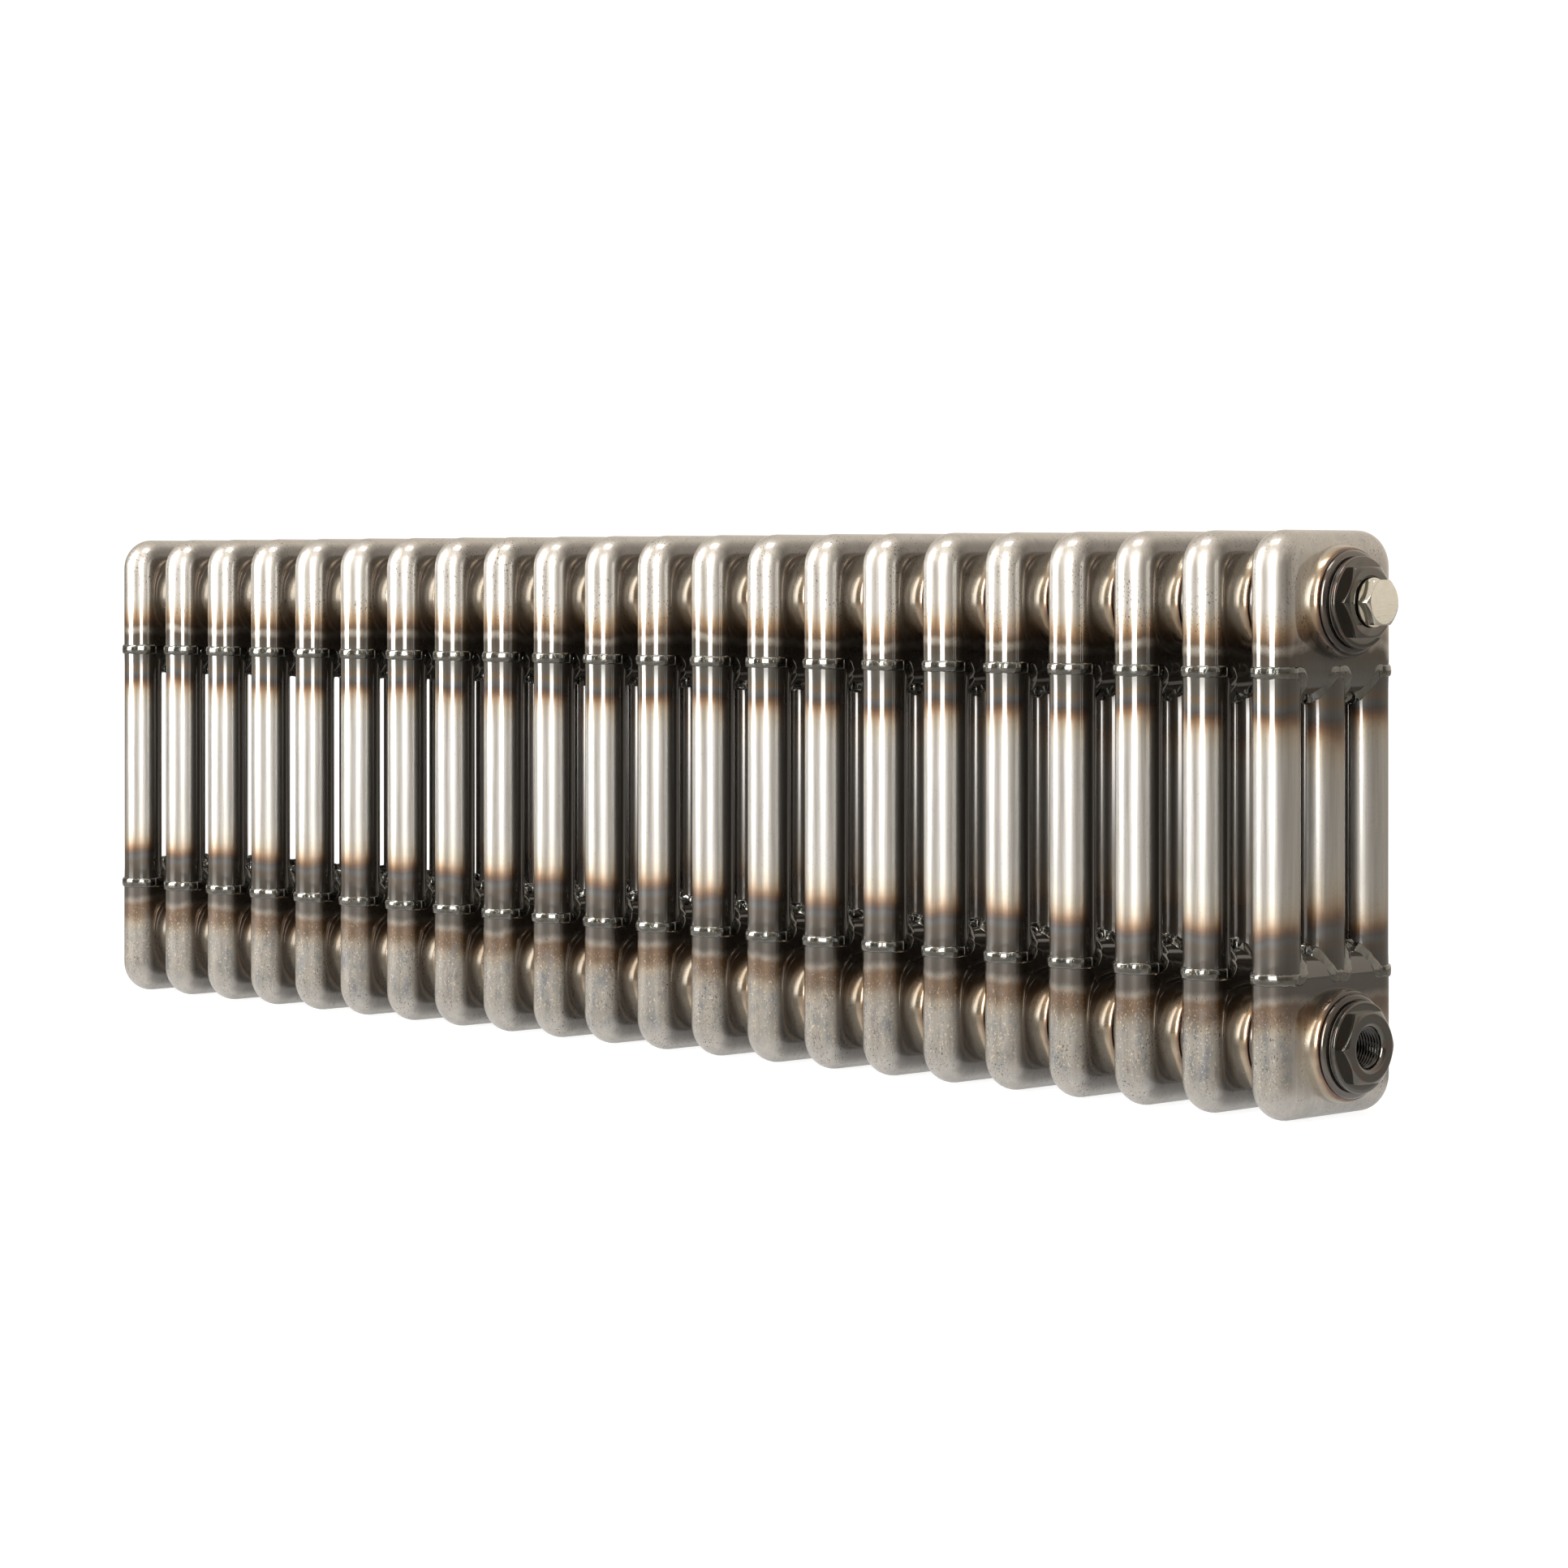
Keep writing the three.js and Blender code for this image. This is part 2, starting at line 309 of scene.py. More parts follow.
def seam_bead(skin, y, seed):
    """The weld round the upper end of the tube at y: a raised ring in front and behind, a broad low patch
    with a flat top on the flat sides, and a lumpy fillet in the gaps between tubes."""
    t = np.linspace(0, 1, SEAM_STEPS + 1)[:-1]
    a = 2 * math.pi * t
    across = TUBE_R * np.sin(a)
    fold = seam_drop(y, across) / TUBE_R
    drop = np.maximum(fold - PATCH_TOP, 0) / (1 - PATCH_TOP)
    between = fold > 0
    side = np.where(between, np.sign(np.cos(a)) * np.sqrt(1 - drop * drop), np.cos(a))
    path = stack(TUBE_R * side, y + across, WELD_HIGH - TUBE_R * drop)
    out = stack(side, np.sin(a) * np.where(between, fold ** 3, 1), -drop)
    out /= np.linalg.norm(out, axis=1)[:, None]
    ring_height = OUTER_RING_HEIGHT if y else MIDDLE_RING_HEIGHT
    width = np.interp(fold, *zip(*SEAM_WIDTHS)) * MM
    height = np.interp(fold, *zip((0, ring_height), *PATCH_HEIGHTS)) * MM
    width = width * lumps(t, seed, (4, 7, 11, 17), 0.035)
    height = height * lumps(t, seed + 1, (3, 8, 13, 19), 0.04 + 0.12 * fold)
    skin.grid(sweep(path, out, width, height), wrap_rows=True, wrap_columns=True)


def ridge_bead(skin, y0, y1, seed):
    """The lumpy weld along the ridge of the upper header's edge between the tubes at y0 and y1."""
    t = np.linspace(-1, 1, RIDGE_STEPS + 1)
    middle = (y0 + y1) / 2
    reach = (y1 - y0) / 2 - TUBE_R + RIDGE_OVERLAP
    sag = RIDGE_SAG * np.abs(t) ** 3
    wander = RIDGE_WANDER * (lumps(t, seed + 2, (0.7, 1.3), 0.6) - 1)
    path = stack(wander, middle + reach * t, CROWN_Z - sag)
    out = np.tile([0.0, 0.0, -1.0], (len(t), 1))
    size = RIDGE_R * lumps(t, seed, (1.1, 1.9, 3.1), 0.24) * (1 - t ** 8) + 1e-5
    grid = sweep(path, out, size * RIDGE_WIDTH, size, closed=False)
    skin.grid(grid, wrap_columns=True)
    skin.fan(grid[0], path[0])
    skin.fan(grid[-1], path[-1])


def weld_beads(number, flip):
    """The upper welds of one section. Each bead has its own seed; flip is 1 for the set that is turned
    over to make the lower welds."""
    skin = Skin()
    seed = 1000 * number + 100 * flip
    for i, y in enumerate((-TUBE_SPACING, 0, TUBE_SPACING)):
        seam_bead(skin, y, seed + 10 * i)
    for i, y in enumerate((-TUBE_SPACING, 0)):
        ridge_bead(skin, y, y + TUBE_SPACING, seed + 50 + 10 * i)
    return skin


def join(*skins):
    made = Skin()
    for skin in skins:
        start = len(made.points)
        made.points.extend(skin.points)
        made.faces.extend([start + v for v in face] for face in skin.faces)
    return made


# ---------------------------------------------------------------- turned pieces
def soften(points, radius, steps=3):
    """Rounds the inner corners of an open (x, r) profile."""
    points = [np.array(p, float) for p in points]
    made = [points[0]]
    for before, corner, after in zip(points, points[1:], points[2:]):
        back, on = before - corner, after - corner
        reach = min(radius, 0.45 * np.linalg.norm(back), 0.45 * np.linalg.norm(on))
        start = corner + back / np.linalg.norm(back) * reach
        end = corner + on / np.linalg.norm(on) * reach
        for t in np.linspace(0, 1, steps + 1):
            made.append(start * (1 - t) ** 2 + 2 * corner * t * (1 - t) + end * t * t)
    made.append(points[-1])
    return made


def round_rows(profile):
    """Rings (x, r) round the X axis, as rows that shaped_body takes."""
    ones = np.ones(TURN_STEPS)
    return [(x * ones, r * ones) for x, r in profile]


def polygon_radius(flats, across, power=60):
    """The distance from the axis to a bar with one of its flats on top and slightly rounded corners."""
    total = 0
    for k in range(flats):
        facing = np.cos(full_turn(TURN_STEPS) - 2 * math.pi * k / flats)
        total = total + np.maximum(facing, 0) ** power
    return across / 2 / total ** (1 / power)


def head_rows(x0, x1, flats, across, face_r, lean):
    """A bar's flats from x0 to its chamfered end at x1, whose round face has radius face_r."""
    radius = polygon_radius(flats, across)
    edge = x1 - (radius - face_r) * lean
    ones = np.ones(TURN_STEPS)
    blunt = 0.12 * MM
    return [
        (x0 * ones, radius),
        (edge - 3 * blunt, radius),
        (edge - blunt, radius),
        (edge + blunt * lean, radius - blunt),
        (x1 * ones - blunt * lean, face_r + blunt * ones),
        (x1 * ones, (face_r - blunt) * ones),
        (x1 * ones, (face_r - 3 * blunt) * ones),
    ]


def thread_rows(x0, x1, radius, pitch, depth, per_turn=8):
    """The rings of a screw thread from x0 to x1, whose crests are depth from the roots."""
    rows = []
    turns = full_turn(TURN_STEPS) / (2 * math.pi)
    count = int(abs(x1 - x0) / pitch * per_turn)
    for x in np.linspace(x0, x1, count + 1):
        phase = (x / pitch - turns) % 1
        crest = (0.5 - 0.5 * np.cos(2 * math.pi * phase)) ** 0.8
        rows.append((x * np.ones(TURN_STEPS), radius - depth * crest))
    return rows


def shaped_body(rows, ring=False):
    """A body from rings of (x, r) arrays round X. A ring closes on its first row, a solid on the axis."""
    skin = Skin()
    a = full_turn(TURN_STEPS)
    grid = np.array([stack(x, r * np.sin(a), r * np.cos(a)) for x, r in rows])
    skin.grid(grid, wrap_rows=ring, wrap_columns=True)
    if not ring:
        for end in (0, -1):
            skin.fan(grid[end], (grid[end][:, 0].mean(), 0, 0))
    return skin


def turned_arc(x, r, deep, wide, start, end, steps=7):
    """Points (x, r) on an ellipse round the given one, deep along X and wide across it."""
    a = np.radians(np.linspace(start, end, steps + 1))
    return list(zip(x + deep * np.sin(a), r + wide * np.cos(a)))


def hub():
    """The hub through one header: a domed disc and a round-edged ring on both sides, open inside."""
    disc_from = TUBE_R - 0.2 * MM
    disc_deep, disc_wide = HUB_DISC_FACE - TUBE_R, HUB_DISC_R - HUB_DOME_R
    ring_deep = HUB_FACE - HUB_DISC_FACE
    half = [
        (0, HUB_PIPE_R),
        (disc_from, HUB_PIPE_R),
        (disc_from, HUB_DISC_R),
        *turned_arc(TUBE_R, HUB_DOME_R, disc_deep, disc_wide, 4, 76),
        (HUB_DISC_FACE - 0.1 * MM, HUB_RING_R - HUB_GROOVE),
        *turned_arc(HUB_DISC_FACE, HUB_RING_R - HUB_RING_ROUND, ring_deep, HUB_RING_ROUND, 8, 90),
        (HUB_FACE, HUB_BORE_R + HUB_CHAMFER),
        (HUB_FACE - HUB_CHAMFER, HUB_BORE_R),
        (0, HUB_BORE_R),
    ]
    mirrored = [(-x, r) for x, r in half]
    return shaped_body(round_rows(half + mirrored[-2:0:-1]), ring=True)


# ---------------------------------------------------------------- fittings: x runs out from the hub's face
FIT_GAP = 0.3 * MM
FLANGE_FROM = 1.3 * MM
FLANGE_TO = 4.3 * MM
FLANGE_R = 23.6 * MM
SHANK_LENGTH = 15 * MM
SHANK_R = 20.4 * MM
SEAL_R = 23.3 * MM
BUSH_HEX = 36 * MM
BUSH_HEX_FACE_R = 17.5 * MM
SOCKET_R = 10.4 * MM
THREAD_PITCH = 1.814 * MM
THREAD_DEPTH = 1.1 * MM
MOUTH_R = 13.4 * MM
MOUTH_DEPTH = 2.8 * MM
PLUG_HEX = 23 * MM
PLUG_HEX_FROM = PLUG_FACE - 6.5 * MM
COLLAR_FROM = PLUG_HEX_FROM - 1.1 * MM
COLLAR_R = 12.6 * MM
PLUG_FACE_R = 11.3 * MM
PLUG_SHANK_R = 9.2 * MM
PLUG_SHANK_LENGTH = 11 * MM
PLUG_SHANK_CHAMFER = 0.8 * MM
PLUG_SEAL_FROM = BUSH_FACE - 0.5 * MM
PLUG_SEAL_THICK = 1 * MM
PLUG_SEAL_R = 10.8 * MM
KEY_RECESS_R = 6.2 * MM
KEY_RECESS_DEPTH = 4 * MM
SCREW_SEAT = PLUG_FACE - 12 * MM
SCREW_HOLE_R = 4 * MM
SCREW_R = 3.85 * MM
SCREW_POINT = 3 * MM
SCREW_HEAD = 5 * MM


def bush(threaded):
    """A reducing bush: shank, flange, hexagon, and a round-lipped mouth into its socket."""
    outside = soften([
        (-SHANK_LENGTH, SOCKET_R - THREAD_DEPTH),
        (-SHANK_LENGTH, SHANK_R),
        (FLANGE_FROM, SHANK_R),
        (FLANGE_FROM, FLANGE_R),
        (FLANGE_TO, FLANGE_R),
        (FLANGE_TO, BUSH_HEX / 2 + 3.2 * MM),
    ], 0.7 * MM)
    rows = round_rows(outside)
    rows += head_rows(FLANGE_TO, BUSH_FACE, 6, BUSH_HEX, BUSH_HEX_FACE_R, 0.5)
    bottom = BUSH_FACE - MOUTH_DEPTH
    rows += round_rows([(BUSH_FACE, MOUTH_R + 0.5 * MM)])
    rows += round_rows(turned_arc(bottom, MOUTH_R, MOUTH_DEPTH, SOCKET_R - MOUTH_R, 84, 0, steps=9))
    socket_end = -SHANK_LENGTH + 0.4 * MM
    if threaded:
        rows += thread_rows(bottom - 0.3 * MM, socket_end, SOCKET_R, THREAD_PITCH, THREAD_DEPTH)
    else:
        rows += round_rows([(socket_end, SOCKET_R - THREAD_DEPTH)])
    return shaped_body(rows, ring=True)


def washer(x0, x1, inner, outer):
    """A flat ring with rounded edges, squeezed a little proud in its middle."""
    middle = (x0 + x1) / 2
    proud = 0.3 * MM
    profile = soften([
        (middle, inner),
        (x0, inner),
        (x0, outer - proud),
        (middle, outer),
        (x1, outer - proud),
        (x1, inner),
        (middle, inner),
    ], 0.35 * MM)
    return shaped_body(round_rows(profile[:-1]), ring=True)


def bush_seal():
    return washer(FIT_GAP, FLANGE_FROM - 0.1 * MM, SHANK_R + FIT_GAP, SEAL_R)


def plug_seal():
    return washer(PLUG_SEAL_FROM, PLUG_SEAL_FROM + PLUG_SEAL_THICK, PLUG_SHANK_R + FIT_GAP, PLUG_SEAL_R)


def plug_stem():
    inner_end = BUSH_FACE - PLUG_SHANK_LENGTH
    return soften([
        (inner_end, 2 * MM),
        (inner_end, PLUG_SHANK_R - PLUG_SHANK_CHAMFER),
        (inner_end + PLUG_SHANK_CHAMFER, PLUG_SHANK_R),
        (COLLAR_FROM, PLUG_SHANK_R),
        (COLLAR_FROM, COLLAR_R),
        (PLUG_HEX_FROM, COLLAR_R),
        (PLUG_HEX_FROM, PLUG_HEX / 2 + 0.9 * MM),
    ], 0.35 * MM)


def plug_head():
    return head_rows(PLUG_HEX_FROM, PLUG_FACE, 6, PLUG_HEX, PLUG_FACE_R, 0.75)


def blanking_plug():
    face = round_rows([(PLUG_FACE, 8 * MM), (PLUG_FACE, 3 * MM)])
    return shaped_body(round_rows(plug_stem()) + plug_head() + face)


def vent_plug():
    recess_floor = PLUG_FACE - KEY_RECESS_DEPTH
    recess = soften([
        (PLUG_FACE, PLUG_FACE_R - 1 * MM),
        (PLUG_FACE, KEY_RECESS_R),
        (recess_floor, KEY_RECESS_R),
        (recess_floor, SCREW_HOLE_R),
        (SCREW_SEAT, SCREW_HOLE_R),
        (SCREW_SEAT, 1 * MM),
    ], 0.4 * MM)
    return shaped_body(round_rows(plug_stem()) + plug_head() + round_rows(recess))


def bleed_screw():
    """A stem with a pointed seat, and a square head for the radiator key."""
    stem_end = PLUG_FACE - KEY_RECESS_DEPTH + FIT_GAP
    stem = soften([
        (SCREW_SEAT + FIT_GAP, 0.3 * MM),
        (SCREW_SEAT + SCREW_POINT, SCREW_R),
        (stem_end - 0.6 * MM, SCREW_R),
        (stem_end, SCREW_R - 0.4 * MM),
        (stem_end, SCREW_HEAD / 2 + 1.1 * MM),
    ], 0.2 * MM)
    face_r = SCREW_HEAD / 2 - 0.15 * MM
    head = head_rows(stem_end, PLUG_FACE - FIT_GAP, 4, SCREW_HEAD, face_r, 0.5)
    return shaped_body(round_rows(stem) + head)


# ---------------------------------------------------------------- materials
class Shader:
    """A material's node tree on one principled surface; its calls return sockets to join up."""

    def __init__(self, name, **constants):
        self.material = bpy.data.materials.new(name)
        self.material.use_nodes = True
        self.tree = self.material.node_tree
        self.tree.nodes.clear()
        self.surface = self.node("ShaderNodeBsdfPrincipled")
        output = self.node("ShaderNodeOutputMaterial")
        self.tree.links.new(self.surface.outputs[0], output.inputs["Surface"])
        self.place = self.node("ShaderNodeTexCoord").outputs["Object"]
        self.x, self.y, self.z = self.node("ShaderNodeSeparateXYZ", self.place).outputs
        for socket, value in constants.items():
            self.surface.inputs[socket.replace("_", " ")].default_value = value

    def node(self, kind, *inputs, **settings):
        made = self.tree.nodes.new(kind)
        for name, value in settings.items():
            setattr(made, name, value)
        for socket, value in zip(made.inputs, inputs):
            self.put(value, socket)
        return made

    def put(self, value, socket):
        if isinstance(value, bpy.types.NodeSocket):
            self.tree.links.new(value, socket)
        elif value is not None:
            socket.default_value = value

    def set(self, **inputs):
        for name, value in inputs.items():
            self.put(value, self.surface.inputs[name.replace("_", " ")])

    def math(self, operation, a, b=None, c=None):
        return self.node("ShaderNodeMath", a, b, c, operation=operation).outputs[0]

    def size_of(self, value):
        return self.math("ABSOLUTE", value)

    def product(self, first, *others):
        for other in others:
            first = self.math("MULTIPLY", first, other)
        return first

    def plus(self, value, more, times):
        """value, and more that many times."""
        return self.math("MULTIPLY_ADD", more, times, value)

    def waver(self, value, noise, size):
        """value, moved up and down by noise, by size in all."""
        return self.plus(value, self.math("SUBTRACT", noise, 0.5), size)

    def fit(self, value, low, high, to_low=0.0, to_high=1.0, smooth=False):
        kind = "SMOOTHSTEP" if smooth else "LINEAR"
        made = self.node("ShaderNodeMapRange", interpolation_type=kind)
        for name, v in (("Value", value), ("From Min", low), ("From Max", high),
                        ("To Min", to_low), ("To Max", to_high)):
            self.put(v, made.inputs[name])
        return made.outputs[0]

    def smooth(self, value, low, high, to_low=0.0, to_high=1.0):
        return self.fit(value, low, high, to_low, to_high, smooth=True)

    def band(self, value, start, full, fading, end):
        """From 0 at start to 1 at full, and from 1 at fading to 0 at end."""
        return self.product(self.smooth(value, start, full), self.smooth(value, end, fading))

    def noise(self, size, detail=3, stretch=(1, 1, 1), shift=0.0, rough=0.5):
        """Noise from 0 to 1 whose features are about size metres, times stretch along each axis."""
        scaled = self.node("ShaderNodeVectorMath", self.place, operation="MULTIPLY_ADD")
        scaled.inputs[1].default_value = [1 / (size * s) for s in stretch]
        scaled.inputs[2].default_value = (shift, shift * 1.7, shift * 0.6)
        made = self.node("ShaderNodeTexNoise", scaled.outputs[0])
        made.inputs["Scale"].default_value = 1
        made.inputs["Detail"].default_value = detail
        made.inputs["Roughness"].default_value = rough
        return made.outputs["Fac"]

    def ramp(self, factor, stops):
        made = self.node("ShaderNodeValToRGB", factor)
        bands = made.color_ramp
        bands.interpolation = "LINEAR"
        while len(bands.elements) < len(stops):
            bands.elements.new(0.5)
        for element, (place, colour) in zip(bands.elements, stops):
            element.position = place
            element.color = (*colour, 1)
        return made.outputs["Color"]

    def mix(self, factor, a, b, blend="MIX"):
        made = self.node("ShaderNodeMix", data_type="RGBA", blend_type=blend)
        self.put(factor, made.inputs["Factor"])
        for name, value in (("A", a), ("B", b)):
            socket = next(s for s in made.inputs if s.name == name and s.type == "RGBA")
            self.put(value if isinstance(value, bpy.types.NodeSocket) else (*value, 1), socket)
        return next(s for s in made.outputs if s.type == "RGBA")

    def bump(self, height, distance, strength=1.0):
        made = self.node("ShaderNodeBump")
        made.inputs["Strength"].default_value = strength
        made.inputs["Distance"].default_value = distance
        self.put(height, made.inputs["Height"])
        self.put(made.outputs[0], self.surface.inputs["Normal"])


LACQUERED = {"Metallic": 1.0, "Coat_Weight": 1.0, "Coat_Roughness": 0.03}

# Colours across a weld, by the distance in millimetres: below 0 on the tube, above 0 on the header
HEAT_TINTS = [
    (-46, (0.545, 0.530, 0.500)),
    (-37, (0.545, 0.510, 0.450)),
    (-31, (0.500, 0.435, 0.345)),
    (-27.5, (0.420, 0.320, 0.225)),
    (-24.5, (0.270, 0.165, 0.092)),
    (-22, (0.140, 0.080, 0.046)),
    (-19.5, (0.078, 0.064, 0.055)),
    (-17, (0.088, 0.090, 0.092)),
    (-15, (0.115, 0.095, 0.070)),
    (-12.5, (0.125, 0.086, 0.052)),
    (-10, (0.094, 0.086, 0.073)),
    (-5, (0.086, 0.080, 0.067)),
    (0, (0.096, 0.092, 0.078)),
    (5, (0.080, 0.067, 0.052)),
    (8.5, (0.088, 0.067, 0.048)),
    (11, (0.260, 0.235, 0.200)),
    (12.5, (0.290, 0.255, 0.205)),
    (15, (0.130, 0.088, 0.055)),
    (17, (0.185, 0.108, 0.056)),
    (21.5, (0.370, 0.245, 0.140)),
    (26, (0.480, 0.400, 0.300)),
    (33, (0.550, 0.520, 0.475)),
]
TINT_FROM, TINT_TO = -50, 40
# dark brown-black: the darker oxide near the lower welds, and the painted shade between the sections
DARK_OXIDE_AND_PAINTED_SHADE = (0.045, 0.036, 0.028)
SCORCH = (0.112, 0.056, 0.019)
PIT = (0.070, 0.058, 0.050)
CLOUD = (0.33, 0.33, 0.34)
FLECK = (0.60, 0.52, 0.40)
MIDDLE_TUBE_SPREAD = 0.3  # the share by which the heat ran further along the middle tubes


def heat_place(shader, wander, spread=0.0):
    """The distance from the nearest weld line in millimetres, above 0 towards the header's end. It
    wanders from piece to piece and from place to place, and is shrunk by spread on the middle tubes."""
    middle = shader.size_of(shader.math("SUBTRACT", shader.z, HEIGHT / 2))
    s = shader.plus(-(WELD_HIGH - HEIGHT / 2) / MM, middle, 1 / MM)
    if spread:
        from_axis = shader.size_of(shader.y)
        s = shader.product(s, shader.fit(from_axis, 1.6 * TUBE_R, TUBE_R, 1.0, 1 - spread))
    own = shader.noise(46 * MM, detail=1, stretch=(1, 1, 9), shift=51)
    broad = shader.noise(45 * MM, detail=2, stretch=(1, 1, 3))
    fine = shader.noise(6 * MM, detail=3, stretch=(1, 1, 2.5), shift=4)
    s = shader.waver(s, own, 12 * wander)
    s = shader.waver(s, broad, 8 * wander)
    return shader.waver(s, fine, 4 * wander)


def heat_colour(shader, s):
    span = TINT_TO - TINT_FROM
    stops = [((d - TINT_FROM) / span, colour) for d, colour in HEAT_TINTS]
    return shader.ramp(shader.fit(s, TINT_FROM, TINT_TO), stops)


def from_middle(shader):
    """The distance along X from the middle of the section, in pitches."""
    turns = shader.math("FRACT", shader.plus(len(SECTIONS) / 2, shader.x, 1 / PITCH))
    return shader.size_of(shader.math("SUBTRACT", turns, 0.5))


def painted_shade_mask(shader, flat_sides):
    """Where shade is painted: from 0 in the open to 1 on metal that the tubes in front of it hide, but 0 on
    the row's two ends. With flat_sides, only metal that faces the next section counts."""
    from_axis = shader.size_of(shader.y)
    hidden = shader.smooth(from_axis, TUBE_SPACING + 0.5 * TUBE_R, TUBE_SPACING - 0.05 * TUBE_R)
    if flat_sides:
        radius = TUBE_R / PITCH
        facing = shader.smooth(from_middle(shader), 0.6 * radius, 0.95 * radius)
        hidden = shader.math("MINIMUM", hidden, facing)
    end = ROW_FACE - HUB_FACE
    exposed = shader.fit(shader.size_of(shader.x), end, end + 0.1 * TUBE_R, 1.0, 0.0)
    return shader.product(hidden, exposed)


def streaked(shader, colour, streak):
    """Fine and broad streaks along Z, as drawing and brushing leave them."""
    broad = shader.noise(4 * MM, detail=2, stretch=(1, 1, 22), shift=7)
    shade = shader.waver(shader.waver(1, streak, 0.5), broad, 0.3)
    grey = shader.node("ShaderNodeCombineColor", shade, shade, shade).outputs[0]
    return shader.mix(1.0, colour, grey, "MULTIPLY")


def darker_near_lower_welds(shader, colour, s):
    """Near the lower welds the oxide is darker, and the scorch a deeper brown."""
    low = shader.smooth(shader.z, 0.62 * HEIGHT, 0.30 * HEIGHT, 0.0, 0.6)
    colour = shader.mix(shader.product(low, shader.band(s, -19, -13, 9, 15)), colour, DARK_OXIDE_AND_PAINTED_SHADE)
    scorched = shader.smooth(shader.z, HEADER_HEIGHT, 0.85 * HEADER_HEIGHT, 0.0, 0.75)
    return shader.mix(shader.product(scorched, shader.band(s, 10, 16, 20, 29)), colour, SCORCH)


def pitted(shader, colour, speck, mottle):
    """Small dark specks, gathered in patches."""
    patch = shader.noise(16 * MM, detail=3, stretch=(1, 1, 1.8), shift=21)
    pits = shader.product(shader.fit(speck, 0.60, 0.67), shader.fit(patch, 0.40, 0.60), mottle)
    return shader.mix(pits, colour, PIT)


def dull_place(shader, mottle):
    """Where the lower headers are dull: on their front and back edges, between their foot and the welds."""
    level = shader.band(shader.z, 0.5 * TUBE_R, 1.6 * TUBE_R, 0.55 * HEADER_HEIGHT, 0.9 * HEADER_HEIGHT)
    edge = shader.smooth(shader.size_of(shader.y), TUBE_SPACING - 0.2 * TUBE_R, TUBE_SPACING + 0.5 * TUBE_R)
    return shader.product(level, edge, mottle)


def dulled(shader, colour, dull, bright):
    """Grey and blue-grey mill scale with small gold flecks."""
    scale = shader.noise(6.5 * MM, detail=5, stretch=(1, 1, 2.8), shift=61, rough=0.66)
    scale = shader.ramp(scale, [
        (0.34, (0.33, 0.36, 0.41)),
        (0.46, (0.52, 0.52, 0.51)),
        (0.56, (0.60, 0.58, 0.54)),
        (0.66, (0.42, 0.42, 0.44)),
    ])
    colour = shader.mix(shader.product(dull, bright), colour, scale, "MULTIPLY")
    grain = shader.noise(1.1 * MM, detail=2, stretch=(1, 1, 1.3), shift=71)
    flecks = shader.product(shader.fit(grain, 0.60, 0.68), dull, 0.7)
    return shader.mix(flecks, colour, FLECK)


def heated_steel(name, mottle, header, painted_shade_depth):
    """Bare steel under clear lacquer, heat-tinted by the welding; mottle is how uneven its bright parts
    are, and the painted shade depth how far painted shade darkens the metal hidden between the tubes and
    the sections."""
    shader = Shader(name, **LACQUERED, Coat_IOR=2.0)
    s = heat_place(shader, 1, 0.0 if header else MIDDLE_TUBE_SPREAD)
    oxide = shader.band(s, -31, -22, 14, 22)
    bright = shader.math("SUBTRACT", 1, oxide)
    streak = shader.noise(1.1 * MM, detail=3, stretch=(1, 1, 45), shift=2, rough=0.65)
    speck = shader.noise(0.9 * MM, detail=2, stretch=(1, 1, 1.4), shift=11)
    wave = shader.noise(12 * MM, detail=2, stretch=(1, 1, 3), shift=41)
    cloud = shader.fit(shader.noise(11 * MM, detail=4, stretch=(1, 1, 1.6), shift=31, rough=0.6), 0.5, 0.75)
    cloud = shader.product(cloud, 0.45 * mottle, bright)
    dull = dull_place(shader, mottle)

    colour = streaked(shader, heat_colour(shader, s), streak)
    colour = darker_near_lower_welds(shader, colour, s)
    colour = pitted(shader, colour, speck, mottle)
    colour = shader.mix(cloud, colour, CLOUD)
    colour = dulled(shader, colour, dull, bright)
    # painted shade: metal that the tubes and the next sections hide is darkened towards dark brown-black
    colour = shader.mix(shader.product(painted_shade_mask(shader, header), painted_shade_depth), colour, DARK_OXIDE_AND_PAINTED_SHADE)

    rough = shader.plus(0.34, streak, 0.14)
    rough = shader.plus(rough, dull, 0.22)
    rough = shader.plus(rough, oxide, 0.08)
    rough = shader.plus(rough, cloud, 0.25)
    shader.set(Base_Color=colour, Roughness=rough)
    height = shader.plus(streak, speck, 0.5 * mottle)
    shader.bump(shader.plus(height, wave, 4), 0.02 * MM, 0.6)
    return shader.material


def weld_steel():
    """Glossy, dark, slightly green-grey weld metal with fine ripples and spots of straw and blue."""
    shader = Shader("weld_steel", **LACQUERED, Coat_IOR=2.0)
    spots = shader.noise(4.5 * MM, detail=3, shift=3)
    ripple = shader.noise(1.6 * MM, detail=2, shift=9)
    colour = shader.ramp(spots, [
        (0.30, (0.052, 0.054, 0.048)),
        (0.42, (0.088, 0.090, 0.076)),
        (0.52, (0.116, 0.114, 0.094)),
        (0.62, (0.098, 0.080, 0.058)),
        (0.72, (0.065, 0.058, 0.050)),
    ])
    shader.set(Base_Color=colour, Roughness=shader.plus(0.14, spots, 0.2))
    shader.bump(shader.plus(ripple, spots, 1.5), 0.35 * MM, 0.8)
    return shader.material


